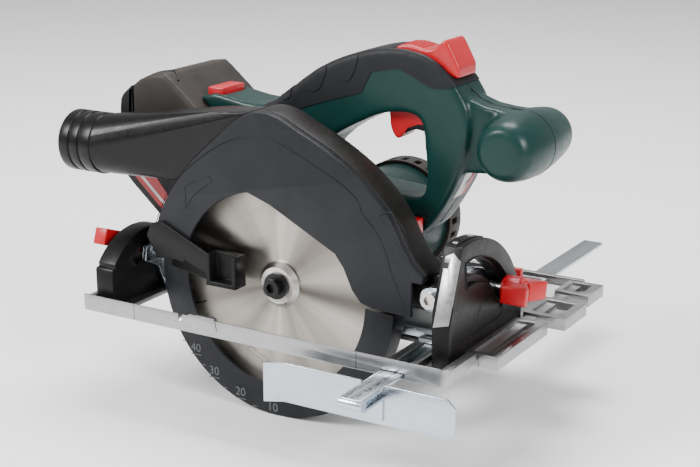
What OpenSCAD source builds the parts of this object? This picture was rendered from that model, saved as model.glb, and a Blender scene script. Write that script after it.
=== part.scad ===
// Cordless circular saw with a dust nozzle, bevel quadrants, a plunge pivot,
// a retracting lower guard, a parallel guide and a slide-on battery pack.
// The origin is the centre of the sole on its underside. The blade turns about Y.

/* [Sole] */
// Length of the sole along the cut
sole_l = 268; // [260:1:276]
// Width of the sole across the cut
sole_w = 202; // [198:1:206]
// Thickness of the cast floor of the sole
sole_t = 3; // [2.5:0.1:3]
// Height of the rim round the sole
rim_h = 11; // [9:0.5:11]

/* [Blade] */
// Diameter of the saw blade
blade_d = 165; // [160:1:165]
// Thickness of the blade body
blade_t = 1.4; // [1.2:0.1:1.8]
// Number of teeth
blade_teeth = 24; // [18:2:48]
// Depth of cut at 90 degrees
cut_depth = 57; // [55:0.5:57]

/* [Guard] */
// Outer radius of the moving lower guard
lower_r = 87; // [86:0.5:87]
// Near face of the upper guard, measured from the blade plane
near_y = -18.3; // [-18.4:0.1:-18]
// Wall of the guards
guard_wall = 2.6; // [2:0.1:2.6]
// Inner radius of the dust nozzle
nozzle_r = 17.5; // [16:0.5:18]

/* [Drive] */
// Radius of the motor barrel
motor_r = 36; // [35:0.5:36]
// Module of the gear teeth
gear_m = 1; // [1]

/* [Parallel guide] */
// Width of the guide arm
arm_w = 15; // [12:0.5:15]
// Length of the guide arm
arm_l = 356; // [300:1:370]

/* [Hidden] */

$fn = 48;

// Places, with x from the spindle, y from the blade plane and z from the sole
spindle_x = -10;
blade_y = -54;
spindle_z = blade_d / 2 - cut_depth;
sole_x0 = -sole_l / 2 - spindle_x;
sole_x1 = sole_l / 2 - spindle_x;
sole_y0 = -sole_w / 2 - blade_y;
sole_y1 = sole_w / 2 - blade_y;
rim_t = 3.8;
pivot = [114, 38.5];
motor = [26, 48.5];
idler = [5, 49];
handle_y = 48;
handle_half = 17;
neck_r = 16;
knob = [143, 124];
far_y = 9.7;
clear = 0.3;
front_q = [122, 134];
rear_q = [-119, -105];
front_bolt_r = 56;
front_bolt_a = 35;
rear_bolt_r = 33;
rear_bolt_a = 65;
arc_r = 150;
arc_rest_a = 5;
raise_a = 29.5;
pack_a = 39.7;
pack_o = [-30.2, 87];
pack_y = [18.5, 91.5];

function polar(r, a) = [r * cos(a), r * sin(a)];
function arc(c, r, a0, a1, n) = [for (i = [0:n]) c + polar(r, a0 + (a1 - a0) * i / n)];
function reversed(v) = [for (i = [len(v) - 1:-1:0]) v[i]];
function mix(a, b, c, d, t) = 0.5 * (2 * b + (c - a) * t + (2 * a - 5 * b + 4 * c - d) * t * t
    + (3 * b - a - 3 * c + d) * t * t * t);
// Smooth curve through a few points
function curve(p, n) = [for (i = [0:len(p) - 2]) for (k = [0:n - 1])
    mix(p[max(i - 1, 0)], p[i], p[i + 1], p[min(i + 2, len(p) - 1)], k / n), p[len(p) - 1]];

// A point s back along the battery's slide and off above its tool side
function tool_side(s, off) = pack_o + s * [-cos(pack_a), sin(pack_a)] + off * [sin(pack_a), cos(pack_a)];

module at_blade() { translate([spindle_x, blade_y, 0]) children(); }
// Extrude an x-z outline from y0 to y1
module slab(y0, y1) {
    translate([0, y1, 0]) rotate([90, 0, 0]) linear_extrude(y1 - y0) children();
}
// Extrude a y-z outline from x0 to x1
module plate(x0, x1) {
    translate([x0, 0, 0]) rotate([90, 0, 90]) linear_extrude(x1 - x0) children();
}
module rod_y(p, y0, y1, r) {
    translate([p[0], y1, p[1]]) rotate([90, 0, 0]) cylinder(r = r, h = y1 - y0);
}
module rod_x(p, x0, x1, r) {
    translate([x0, p[0], p[1]]) rotate([0, 90, 0]) cylinder(r = r, h = x1 - x0);
}
module rod_z(p, z0, z1, r) {
    translate([p[0], p[1], z0]) cylinder(r = r, h = z1 - z0);
}
module box(x, y, z) {
    translate([x[0], y[0], z[0]]) cube([x[1] - x[0], y[1] - y[0], z[1] - z[0]]);
}
// Hexagon socket screw along Y with its head at y0, pointing to +Y
module screw_y(p, y0, head_r, head_h, r, l) {
    difference() {
        union() {
            rod_y(p, y0, y0 + head_h, head_r);
            rod_y(p, y0 + head_h, y0 + head_h + l, r);
        }
        translate([p[0], y0 + head_h * 0.6, p[1]]) rotate([90, 0, 0])
            cylinder(r = r, h = head_h, $fn = 6);
    }
}

/* Sole ---------------------------------------------------------------- */

arm_x0 = 100.3;
arm_z0 = 1.5;
arm_t = 2;
channel = [arm_x0 - 3, arm_x0 + arm_w + 2.4];
window = [-98, 94];
guide_clamp = [arm_x0 + arm_w / 2, 100];

module near_rim(x0, x1) {
    plate(x0, x1) polygon([[sole_y0, 0], [sole_y0, rim_h], [sole_y0 + 0.7, rim_h],
        [sole_y0 + rim_t, rim_h - 4.4], [sole_y0 + rim_t, 0]]);
}

module tongue(x0, x1, y0, y1) {
    difference() {
        box([x0, x1], [y0, y1], [0, 8]);
        box([x0 + 4, x1 - 6], [y0 + 5, y1 - 5], [3, 9]);
    }
}

module base_plate() {
    color("Silver") at_blade() difference() {
        union() {
            box([sole_x0, sole_x1], [sole_y0 + 1, sole_y1], [0, sole_t]);
            near_rim(sole_x0, sole_x1);
            box([sole_x0, sole_x1], [sole_y1 - 4, sole_y1], [0, rim_h - 2]);
            box([sole_x0, sole_x0 + 4], [sole_y0 + rim_t, sole_y1], [0, rim_h - 2]);
            box([sole_x1 - 6, sole_x1], [sole_y0 + 1, -11], [0, rim_h - 1]);
            box([sole_x1 - 8, sole_x1], [-11, sole_y1], [0, 6]);
            for (y = [60, 112]) box([sole_x0, channel[0]], [y, y + 3], [0, 5]);
            for (x = [-62, 20]) box([x, x + 3], [45, sole_y1], [0, 5]);
            box([channel[0], channel[1]], [sole_y0 + 1, sole_y1], [0, 6.4]);
            box([channel[0], channel[1]], [guide_clamp[1] - 11, guide_clamp[1] + 11], [0, 14]);
            tongue(sole_x1 - 10, 156, -7, 65);
            tongue(sole_x1 - 10, 163, 76, 111);
            tongue(sole_x1 - 10, 158, 126, 153);
        }
        // blade window, open up to the near rim
        box(window, [sole_y0 + rim_t, 10.2], [-1, 30]);
        // room for the carriage rail as it tilts
        box([-103, 123], [8.8, 15.2], [rail_z[0] - 0.4, 30]);
        // lightening windows of the motor side
        box([-112, -66], [66, 108], [-1, 30]);
        box([-56, 14], [66, 108], [-1, 30]);
        box([30, 90], [66, 108], [-1, 30]);
        // tunnel of the guide arm, with its top open between the cross ties
        box([arm_x0 - clear, arm_x0 + arm_w + clear], [sole_y0 - 1, sole_y1 + 1],
            [arm_z0 - clear, arm_z0 + arm_t + clear]);
        for (y = [[-39, 4], [24, 84], [116, 148]])
            box([arm_x0 + 1.5, arm_x0 + arm_w - 1.5], y, [arm_z0, 30]);
        // room for the guard's front corner at full bevel
        box([94.2, arm_x0 + 2], [-39, 4], [3.9, 30]);
        rod_z(guide_clamp, arm_z0, 20, 2.55);
        // V notch of the rim
        plate(-47, -44) polygon([[sole_y0 - 1, 5], [sole_y0 - 1, 14], [sole_y0 + 6, 14]]);
        // quadrant screws
        for (p = quadrant_feet) rod_z(p, -1, 20, 2.05);
        for (p = quadrant_feet) rod_z(p, -1, 1.6, 4.2);
        // scale seat
        box([119, 134], [124, 150], [2.4, 9.4]);
    }
}

quadrant_feet = [[128, -16], [128, 66], [-112, -30], [-112, 40]];

// Sector of a bevel quadrant, round about the bevel axis
module quadrant_outline(r, y0, y1) {
    intersection() {
        circle(r = r, $fn = 96);
        translate([y0, sole_t]) square([y1 - y0, r]);
    }
}

// Curved slot of a clamp bolt
module bevel_slot(r, w, a0, a1) {
    polygon(concat(arc([0, 0], r + w / 2, a0, a1, 24), arc([0, 0], r - w / 2, a1, a0, 24)));
}

module front_quadrant() {
    color("#221f1e") at_blade() difference() {
        union() {
            plate(front_q[0], front_q[1]) quadrant_outline(74, -26, 73);
            // flank that closes the near end
            box([front_q[0] + 2, front_q[1] + 1], [-29, -24], [sole_t, 66]);
        }
        plate(front_q[0] - 1, front_q[1] + 2)
            bevel_slot(front_bolt_r, 9, front_bolt_a - 5, front_bolt_a + 55);
        plate(front_q[1] - 4, front_q[1] + 2)
            bevel_slot(front_bolt_r - 1, 15, front_bolt_a - 7, front_bolt_a + 62);
        for (i = [0, 1]) rod_z(quadrant_feet[i], 0, 15, 2.02);
    }
}

module rear_quadrant() {
    color("#151515") at_blade() difference() {
        plate(rear_q[0], rear_q[1]) difference() {
            quadrant_outline(48, -40, 47);
            translate([-41, 28]) square([4, 30]);
            translate([-41, 36]) square([9, 30]);
        }
        plate(rear_q[0] - 1, rear_q[1] + 1)
            bevel_slot(rear_bolt_r, 8, rear_bolt_a - 8, rear_bolt_a + 57);
        for (i = [2, 3]) rod_z(quadrant_feet[i], 0, 15, 2.02);
    }
}

module quadrant_screws() {
    color("Gainsboro") at_blade() for (p = quadrant_feet) {
        rod_z(p, 0.2, 1.5, 4);
        rod_z(p, 1.5, 13, 2);
    }
}

module bevel_scale() {
    color("#303030") at_blade() plate(front_q[0] + 1, front_q[1] - 4)
        polygon(concat(arc([0, 0], 74.6, 72, 108, 20), arc([0, 0], 74.05, 108, 72, 20)));
}

module cut_scale() {
    color("WhiteSmoke") at_blade() box([119.3, 133.7], [124.3, 149.7], [2.4, 3.2]);
}

/* Parallel guide ------------------------------------------------------- */

arm_y0 = -96;

module guide_arm() {
    color("LightSteelBlue") at_blade() {
        box([arm_x0, arm_x0 + arm_w], [arm_y0 + 2, arm_y0 + arm_l], [arm_z0, arm_z0 + arm_t]);
        // fold at the near end and the leg that hangs behind the fence
        rod_x([arm_y0 + 3.5, arm_z0 + arm_t / 2 - 2.5], arm_x0, arm_x0 + arm_w, 3.5);
        box([arm_x0, arm_x0 + arm_w], [arm_y0 + 3, arm_y0 + 26], [-4.5, -2.5]);
        box([arm_x0, arm_x0 + arm_w], [arm_y0 + 24, arm_y0 + 26], [-17, -2.5]);
    }
}

fence_z = [-20, 4.5];

module guide_fence() {
    color("LightSteelBlue") at_blade() {
        difference() {
            box([47, 160], [arm_y0 + 26, arm_y0 + 28], fence_z);
            for (z = fence_z) translate([160, 0, z]) rotate([0, 45, 0])
                cube([7, 400, 7], center = true);
            // notch that the arm lies in
            box([arm_x0 - 0.1, arm_x0 + arm_w + 0.1], [arm_y0, 0], [arm_z0 - 0.1, 20]);
        }
        translate([47, arm_y0 + 27, (fence_z[0] + fence_z[1]) / 2]) rotate([0, 0, 28])
            translate([-6, 0, 0]) cube([12, 2, fence_z[1] - fence_z[0]], center = true);
    }
}

module guide_knob() {
    color("Crimson") at_blade() difference() {
        union() {
            rod_z(guide_clamp, arm_z0 + arm_t + 0.1, 22, 2.5);
            rod_z(guide_clamp, 14.4, 22, 6);
            translate([guide_clamp[0] - 14, guide_clamp[1] - 2, 16]) cube([28, 4, 12]);
        }
    }
}

/* Bevel carriage -------------------------------------------------------- */

eye_r = 7.4;
front_bolt = polar(front_bolt_r, front_bolt_a);
rear_bolt = polar(rear_bolt_r, rear_bolt_a);
rail_y = [10.5, 14.3];
rail_z = [3.9, 9];

module front_bracket() {
    color("Gainsboro") at_blade() difference() {
        union() {
            // plate that slides on the front quadrant
            plate(118.5, 121.5) polygon([[-13.2, 26], [-13.2, 46], [-10.2, 46], [-10.2, 30.5],
                [10.2, 30.5], [10.2, 47], [24, 50], [44, 44], [57, 34], [56, 20], [30, 10],
                [rail_y[1], rail_z[1]], [rail_y[0], rail_z[1]], [8, 24]]);
            // two ears of the plunge pivot
            for (y = [[-13.2, -10.2], [10.2, 13.2]]) {
                rod_y(pivot, y[0], y[1], eye_r);
                box([pivot[0], 121.5], y, [pivot[1] - eye_r, pivot[1] + eye_r]);
            }
        }
        rod_y(pivot, -20, 20, 3);
        rod_x(front_bolt, 100, 130, 4.05);
    }
}

module rear_bracket() {
    color("Gainsboro") at_blade() difference() {
        plate(-104.5, -101.5) polygon([[-10, 27], [-8, 37], [4, 40], [17.5, 40], [17.5, 36], [24, 32], [25, 20],
            [rail_y[1], rail_z[0]], [rail_y[0], rail_z[0]], [4, 20]]);
        rod_x(rear_bolt, -110, -95, 3.55);
    }
}

module carriage_rail() {
    color("Silver") at_blade() box([-101.5, 121.5], rail_y, rail_z);
}

module depth_arc() {
    color("Silver") at_blade() slab(10.5, 13.5) difference() {
        polygon(concat(arc(pivot, arc_r + 8, 180 + 11.5, 180 - 38.5, 40),
            arc(pivot, arc_r - 6, 180 - 38.5, 180 + 11.5, 40)));
        polygon(concat(arc(pivot, arc_r + 3.4, 180 - arc_rest_a + 1.6, 180 - 36.2, 40),
            arc(pivot, arc_r - 3.4, 180 - 36.2, 180 - arc_rest_a + 1.6, 40)));
        translate([-60, -20]) square([60, 20 + rail_z[1]]);
    }
}

module depth_pivot() {
    color("Silver") at_blade() {
        screw_y(pivot, -16.4, 5, 3.2, 2.96, 26.4);
        difference() {
            rod_y(pivot, 13.2, 16.4, 4.3);
            rod_y(pivot, 13, 17, 2.96);
        }
    }
}

module front_clamp_bolt() {
    color("Silver") at_blade() {
        rod_x(front_bolt, 114.5, 118.4, 7);
        rod_x(front_bolt, 118.4, 143, 4);
    }
}

module front_wing_knob() {
    color("Crimson") at_blade() difference() {
        union() {
            rod_x(front_bolt, 134.8, 147, 9);
            for (s = [0, 180]) translate([0, front_bolt[0], front_bolt[1]]) rotate([s - 12, 0, 0])
                hull() {
                    box([137, 150], [3, 6], [-6, 6]);
                    box([139, 156], [13, 16.5], [-4, 7]);
                }
        }
        rod_x(front_bolt, 134, 143.01, 4);
    }
}

module rear_clamp_bolt() {
    color("Silver") at_blade() {
        rod_x(rear_bolt, -101.3, -98, 6);
        rod_x(rear_bolt, -128, -101.3, 3.5);
    }
}

module rear_clamp_lever() {
    color("Crimson") at_blade() difference() {
        union() {
            rod_x(rear_bolt, -132, -119.7, 8);
            translate([0, rear_bolt[0], rear_bolt[1]]) rotate([-19, 0, 0]) {
                box([-133.5, -125], [-24, 0], [-4, 5]);
                box([-134.5, -125], [-38, -22], [-5, 6]);
            }
        }
        rod_x(rear_bolt, -128.01, -119, 3.5);
    }
}

/* Guards ------------------------------------------------------------------ */

spindle_c = [0, spindle_z];
guard_knots = [[172, 90.4], [156, 90.4], [142, 91], [126, 94.5], [112, 100], [101, 109],
    [93, 114], [86, 113], [78, 108.5], [64, 105.5], [50, 105.5], [36, 106.5], [25, 106.5]];

function guard_edge(inset) =
    curve([for (k = guard_knots) spindle_c + polar(k[1] - inset, k[0])], 4);
function guard_front(inset) = [[103 - inset, 60], [111 - inset, 53 - inset], [111 - inset, 48.5]];

module guard_ring() {
    polygon(concat(guard_edge(0), guard_front(0),
        [[104, 48.5]], reversed(guard_edge(guard_wall))));
}

module upper_guard() {
    color("#1d1b1a") at_blade() difference() {
        union() {
            slab(-12, far_y) guard_ring();
            slab(7.2, far_y) polygon(concat(guard_edge(1), guard_front(0), [[104, 48.5], [104, 27],
                [60, 27], [24, 11], [-24, 11], [-60, 33], [-89, 38]]));
            rod_y(pivot, -9.6, 9.6, 7.5);
            box([98, pivot[0]], [-9.6, 9.6], [pivot[1] - 7.5, pivot[1] + 7.5]);
        }
        rod_y(pivot, -20, 20, 3);
        for (y = [[-30, -9.6], [9.6, 30]]) rod_y(pivot, y[0], y[1], eye_r + 0.9);
        rod_y(spindle_c, 0, 20, neck_r + 0.02);
        rod_y(clamp_point, 0, 20, 3);
        rod_y(clamp_point, 6, 8.7, 5.1);
        for (p = guard_screw_places) {
            rod_y(p, 0, 20, 2);
            rod_y(p, 6, 8.9, 3.6);
        }
        // dust opening in the rim
        box([-70, -38], [-9, 7], [80, 125]);
    }
}

cut_out = concat([[104, 27], [77, 27.5], [69, 30], [63, 37], [57, 50], [51, 58], [26, 71],
    [4, 82], [-12, 87.5]], arc(spindle_c, 63.5, 103, 172, 16));

module guard_cover() {
    color("#3b3e45") at_blade() difference() {
        union() {
            slab(near_y, near_y + guard_wall) polygon(concat(guard_edge(0),
                guard_front(0), [[104, 48.5]], cut_out));
            slab(near_y + guard_wall - 0.1, -12) guard_ring();
        }
        rod_y(pivot, -30, 30, eye_r + 0.9);
    }
}

nozzle_c = [-4, 102];

module duct(grow) {
    hull() {
        rod_x(nozzle_c, -137, -134, nozzle_r - 0.5 + grow, $fn = 32);
        slab(-13 - grow, 6 + grow) polygon([[-74, 90 - grow], [-58, 92 - grow], [-20, 120],
            [-14, 134.5 + grow], [-40, 132.5 + grow]]);
    }
}

module dust_nozzle() {
    color("#111111") at_blade() difference() {
        union() {
            rod_x(nozzle_c, -160, -134, nozzle_r + 3);
            duct(2.6);
        }
        duct(0);
        rod_x(nozzle_c, -161, -137, nozzle_r);
        slab(-30, 30) polygon(concat(guard_edge(-0.05), [[104, 27], [0, 20]]));
        for (x = [-152, -144]) translate([x, nozzle_c[0], nozzle_c[1]])
            rotate([0, 90, 0]) difference() {
                cylinder(r = nozzle_r + 5, h = 1.2);
                translate([0, 0, -1]) cylinder(r = nozzle_r + 2.3, h = 4);
            }
    }
}

lower_a0 = 168;
lower_a1 = 358;

module lower_sector(r0, r1) {
    polygon(concat(arc(spindle_c, r1, lower_a0, lower_a1, 60),
        arc(spindle_c, r0, lower_a1, lower_a0, 60)));
}

module lower_guard() {
    color("#2a2c30") at_blade() difference() {
        union() {
            slab(-9, -7) lower_sector(67, lower_r);
            slab(-9, 6.4) lower_sector(lower_r - 2, lower_r);
            slab(4.6, 6.4) lower_sector(22, lower_r);
            rod_y(spindle_c, 4.6, 6.4, 24);
        }
        rod_y(spindle_c, 0, 20, neck_r + 0.06);
    }
}

module retract_lever() {
    color("#191919") at_blade() {
        // spoke behind the cover, from the ring to the grip
        slab(-12.4, -9) polygon([spindle_c + polar(78, 170), spindle_c + polar(78, 178),
            spindle_c + polar(40, 186), spindle_c + polar(40, 160)]);
        // finger box
        difference() {
            box([-44, -21], [-20.9, -9], [23, 44]);
            box([-41, -24], [-22, -12.5], [26, 45]);
        }
        // arm over the cover
        slab(-20.9, -18.9) polygon([[-91, 49], [-87, 58], [-78, 60], [-42, 44], [-42, 30],
            [-60, 37], [-83, 35]]);
    }
}

module return_spring() {
    color("Silver") at_blade() rod_z([-20.8, 12.6], 46, 76, 2.3);
}

module guard_retainer() {
    color("Silver") at_blade() difference() {
        rod_y(spindle_c, 3.4, 4.2, 18);
        rod_y(spindle_c, 3, 5, 15.2);
    }
}

clamp_point = pivot + polar(arc_r, 180 - arc_rest_a);

module depth_clamp_bolt() {
    color("Silver") at_blade() {
        rod_y(clamp_point, 7.3, 8.7, 5);
        rod_y(clamp_point, 8.7, 19.5, 2.95);
    }
}

module depth_lever() {
    color("#1a1a1a") at_blade() difference() {
        union() {
            rod_y(clamp_point, 13.8, 21, 7.5);
            translate([clamp_point[0], 0, clamp_point[1]]) rotate([0, 16, 0])
                box([-6, 6], [14.2, 17.9], [-40, 0]);
        }
        rod_y(clamp_point, 13, 19.51, 3);
    }
}

/* Blade and drive ---------------------------------------------------------- */

blade_r = blade_d / 2;
tooth_a = 360 / blade_teeth;

module saw_blade() {
    color("Silver") at_blade() difference() {
        slab(-blade_t / 2, blade_t / 2) translate([0, spindle_z]) difference() {
            polygon([for (i = [0:blade_teeth - 1]) for (p = [[0, blade_r], [0.32, blade_r - 0.8],
                [0.62, blade_r - 6.5], [0.78, blade_r - 8], [0.92, blade_r - 7.5]])
                polar(p[1], (i + p[0]) * tooth_a)]);
            circle(r = 10);
            for (a = [20:90:290]) rotate(a) translate([blade_r - 20, 0]) square([20, 0.8]);
        }
    }
}

module inner_flange() {
    color("DimGray") at_blade() difference() {
        union() {
            rod_y(spindle_c, blade_t / 2, 3, 15);
            rod_y(spindle_c, -blade_t / 2 + 0.1, blade_t / 2, 9.95);
        }
        rod_y(spindle_c, -3, 5, 5);
    }
}

module outer_flange() {
    color("Gainsboro") at_blade() translate([0, -blade_t / 2, spindle_z]) rotate([90, 0, 0])
        rotate_extrude() polygon([[5, 0], [15, 0], [15, 1.4], [12, 4.4], [5, 4.4]]);
}

module blade_bolt() {
    color("#202020") at_blade() difference() {
        union() {
            rod_y(spindle_c, -7, -5.1, 8.6);
            rod_y(spindle_c, -12.4, -7, 5.6);
            rod_y(spindle_c, -5.1, 12, 3);
        }
        translate([0, -9.4, spindle_z]) rotate([90, 0, 0]) cylinder(r = 3.4, h = 5, $fn = 6);
    }
}

module spindle() {
    color("Silver") at_blade() difference() {
        union() {
            rod_y(spindle_c, -5, 36, 5);
            rod_y(spindle_c, 3, 7, 7);
        }
        rod_y(spindle_c, -6, 12.5, 3);
    }
}

// Involute tooth flank: the angle by which it has turned at radius r
function inv_a(r, rb) = r <= rb ? 0 : sqrt(r * r / rb / rb - 1) * 180 / PI - acos(rb / r);
// Outline of a spur gear of n teeth, with one tooth centred on the angle a
function gear_points(n, a) = let(rp = gear_m * n / 2, rb = rp * cos(20), ra = rp + 0.85 * gear_m,
    rf = rp - 1.1 * gear_m, half = 90 / n - 1.3 / rp + inv_a(rp, rb), r1 = max(rf, rb))
    [for (i = [0:n - 1]) for (q = [[rf, -1], [r1, -1], [(r1 + ra) / 2, -1], [ra, -1],
        [ra, 1], [(r1 + ra) / 2, 1], [r1, 1], [rf, 1]])
        polar(q[0], a + i * 360 / n + q[1] * (half - inv_a(q[0], rb)))];

module gear(c, n, a, y0, y1) {
    slab(y0, y1) translate(c) polygon(gear_points(n, a));
}

teeth_spindle = 32;
teeth_idler_small = 16;
teeth_idler_big = 28;
teeth_pinion = 14;
// direction from the spindle to the idler shaft, and from there to the motor
mesh_a = atan2(idler[1] - spindle_z, idler[0]);
mesh_b = atan2(motor[1] - idler[1], motor[0] - idler[0]);

module spindle_gear() {
    color("SlateGray") at_blade() difference() {
        gear(spindle_c, teeth_spindle, mesh_a, 18, 26);
        rod_y(spindle_c, 17, 27, 5);
    }
}

module idler_gear() {
    color("SlateGray") at_blade() {
        gear(idler, teeth_idler_small, mesh_a + 180 + 180 / teeth_idler_small, 17.8, 26.4);
        gear(idler, teeth_idler_big, mesh_b, 26.4, 33);
        rod_y(idler, 15, 38, 3);
    }
}

module rotor_shaft() {
    color("Silver") at_blade() {
        rod_y(motor, 26.6, 119, 4);
        gear(motor, teeth_pinion, mesh_b + 180 + 180 / teeth_pinion, 26.8, 33.2);
    }
}

module armature() {
    color("#8a5a2b") at_blade() difference() {
        slab(52, 88) translate(motor) difference() {
            circle(r = 22);
            for (i = [0:11]) rotate(i * 30) translate([14, -1.2]) square([9, 2.4]);
        }
        rod_y(motor, 50, 90, 4);
    }
}

module cooling_fan() {
    color("#202020") at_blade() difference() {
        union() {
            rod_y(motor, 98, 100, 29);
            rod_y(motor, 92, 106, 7);
            for (i = [0:13]) translate([motor[0], 0, motor[1]]) rotate([0, i * 360 / 14, 0])
                box([6, 29], [100, 106], [-0.6, 0.6]);
        }
        rod_y(motor, 90, 110, 4);
    }
}

module stator() {
    color("#4a4a4a") at_blade() difference() {
        rod_y(motor, 50, 90, 33);
        rod_y(motor, 49, 91, 23);
    }
}

module bearing(c, y0, y1, r_in, r_out) {
    difference() {
        rod_y(c, y0, y1, r_out);
        rod_y(c, y0 - 1, y1 + 1, r_in);
    }
}

module rotor_bearings() {
    color("Silver") at_blade() {
        bearing(motor, 35, 41, 4.02, 9);
        bearing(motor, 110, 117, 4.02, 10);
    }
}

module gear_bearings() {
    color("Silver") at_blade() {
        bearing(spindle_c, 8, 16, 5.02, 13);
        bearing(spindle_c, 28, 35, 5.02, 8.8);
        bearing(idler, 34, 38.5, 3.02, 8);
    }
}

// Outline of the gear case round its three shafts
module case_outline(wall) {
    hull() {
        translate(spindle_c) circle(r = 17.6 + wall, $fn = 32);
        translate(idler) circle(r = 15.8 + wall, $fn = 32);
        translate(motor) circle(r = 20 + wall, $fn = 32);
    }
}

module gear_case() {
    color("#3a3d3c") at_blade() difference() {
        union() {
            slab(14.6, 39.6) case_outline(2);
            // neck that carries the lower guard
            rod_y(spindle_c, 4.3, 14.7, neck_r);
            rod_y(spindle_c, 3.4, 4.4, 15.2);
            rod_y(motor, 35, 39.6, motor_r);
            for (p = guard_screw_places) rod_y(p, far_y, 14.7, 4);
        }
        slab(17.2, 34.5) case_outline(-0.4);
        rod_y(spindle_c, 8, 18, 13);
        rod_y(spindle_c, 0, 10, 9);
        for (p = guard_screw_places) rod_y(p, 5, 16.5, 2);
        rod_y(spindle_c, 33, 35.2, 8.8);
        rod_y(spindle_c, 33, 37.5, 6);
        rod_y(idler, 33, 38.6, 8);
        rod_y(idler, 15.6, 18, 3.03);
        rod_y(idler, 14.9, 15.7, 3.2);
        rod_y(motor, 33, 41, 9);
    }
}

guard_screw_places = [[-11, 47], [24, 66], [28, 30]];

module motor_housing() {
    color("#1f4a42") at_blade() difference() {
        rod_y(motor, 39.65, 108, motor_r);
        rod_y(motor, 38, 109, motor_r - 3);
    }
}

module motor_end_cap() {
    color("#4c4743") at_blade() difference() {
        union() {
            difference() {
                rod_y(motor, 108, 124, motor_r + 2.5);
                rod_y(motor, 107, 120.5, motor_r - 1);
            }
            rod_y(motor, 109.9, 121, 13);
            for (a = [45, 135]) translate([motor[0], 0, motor[1]]) rotate([0, a, 0])
                box([-motor_r, motor_r], [117.2, 121], [-3, 3]);
        }
        rod_y(motor, 109, 117, 10);
        rod_y(motor, 116, 119.6, 5);
        for (p = cap_screw_places) rod_y(p, 121.4, 130, 3);
        // vents
        for (i = [0:23]) translate([motor[0], 0, motor[1]]) rotate([0, i * 15, 0])
            box([motor_r - 3, motor_r + 5], [111, 118], [-2, 2]);
    }
}

cap_screw_places = [for (a = [0:90:270]) motor + polar(motor_r - 7, a)];

module cap_screws() {
    color("Silver") at_blade() for (p = cap_screw_places) rod_y(p, 121.4, 124.6, 3);
}

/* Handle and battery ----------------------------------------------------------- */

handle_edge = concat([tool_side(71, 0.4)], curve([[-72, 136.5], [-40, 132], [-24, 136], [7, 158.7],
    [35, 171], [62, 176.5], [85, 173.5], [101, 162], [113, 143], [113, 122], [108, 101],
    [98, 82], [88, 67]], 3), [[74, 55], [40, 50], [0, 60], [-14, 74], tool_side(-1.4, 0.4)]);
handle_gap = curve([[2, 100], [18.5, 117], [40, 129.5], [58, 136.5], [80, 136], [84.5, 118],
    [86, 96], [81, 86], [60, 86.5], [30, 89], [8, 92], [2, 100]], 3);
slide_a = -15;
lock_line = [[58, 172.9], [114, 172.9 + 56 * tan(slide_a)]];
seam = 0.03;

function knob_r(t) = 15.5 + 5.2 * sin(180 * pow(t, 0.75));
knob_profile = concat([[0, 0], [12.5, 0], [14.2, 0.7]],
    [for (i = [1:14]) [knob_r(i / 15), 75 * i / 15]], [[13, 73.5], [9, 75], [0, 75]]);

module handle_body() {
    difference() {
        union() {
            slab(handle_y - handle_half, handle_y + handle_half) polygon(handle_edge);
            slab(handle_y - 12, handle_y + 12)
                polygon([[105, 152], [122, 146], [140, 144], [142, 106], [110, 104]]);
            translate([knob[0], 15, knob[1]]) rotate([-90, 0, 0]) rotate_extrude()
                polygon(knob_profile);
        }
        slab(0, 100) polygon(handle_gap);
        rod_y(motor, 0, 130, motor_r + 0.1);
        // room for the switch, its trigger and the lock-off
        box([36, 86], [35, 61], [143, 166]);
        box([54, 84.6], [37.4, 58.6], [124, 146]);
        slab(35.4, 60.6) polygon([lock_line[0], lock_line[1], [120, 200], [58, 200]]);
        box([68, 88], [40, 56], [160, 176]);
        // room for the control board
        box([-34, -4], [36, 60], [92, 124]);
        // seat of the battery terminals
        at_pack() box([-24, -6], [34, 62], [-2, 6.2]);
        // pocket of the battery latch
        box([-81, -67], [35.1, 60.9], [129, 150]);
        // bore of the spindle lock
        rod_y(lock_c, 20, 42, 3.4);
        // screw holes
        for (p = handle_screw_places) rod_y(p, handle_y - 12, 80, 1.6);
        for (p = handle_screw_places) rod_y(p, handle_y + handle_half - 4, 80, 3.4);
    }
}

handle_screw_places = [[-12, 132], [24, 152], [106, 140], [101, 98], [66, 77]];
lock_c = [81, 70];

// Frame of the battery slide: x runs forward and down along the tool side
module at_pack() { translate([pack_o[0], 0, pack_o[1]]) rotate([0, pack_a, 0]) children(); }

module handle_left() {
    color("#1f4a42") at_blade() intersection() {
        handle_body();
        box([-200, 300], [0, handle_y - seam], [-50, 300]);
    }
}

module handle_right() {
    color("#1f4a42") at_blade() intersection() {
        handle_body();
        box([-200, 300], [handle_y + seam, 200], [-50, 300]);
    }
}

// Soft skin on both flanks of the grip
grip_skin = [[-22, 134], [7, 155], [35, 167], [60, 172.5], [60, 156], [44, 151], [30, 136],
    [12, 128], [-6, 118]];

module grip_cover() {
    color("#2e3033") at_blade() for (y = [handle_y - handle_half - 1.5, handle_y + handle_half])
        slab(y, y + 1.5) polygon(grip_skin);
}

module grip_pads() {
    color("#26282b") at_blade() for (y = [handle_y - handle_half - 2.3, handle_y + handle_half + 1.5])
        slab(y, y + 0.8) for (p = [[4, 143], [22, 152], [44, 162]]) translate(p) rotate(25)
            square([9, 7], center = true);
}

module handle_screws() {
    color("DimGray") at_blade() for (p = handle_screw_places) {
        rod_y(p, handle_y + handle_half - 4, handle_y + handle_half - 1.5, 3);
        rod_y(p, handle_y - 11, handle_y + handle_half - 4, 1.55);
    }
}

module switch_module() {
    color("#1b1b1b") at_blade() {
        box([40, 66], [38, 58], [153.5, 165]);
        box([66, 70], [44, 52], [156, 162]);
    }
}

module control_board() {
    color("#1d5c33") at_blade() {
        box([-32, -6], [46, 47.6], [95, 122]);
        box([-28, -14], [47.6, 55], [100, 114]);
    }
}

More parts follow.
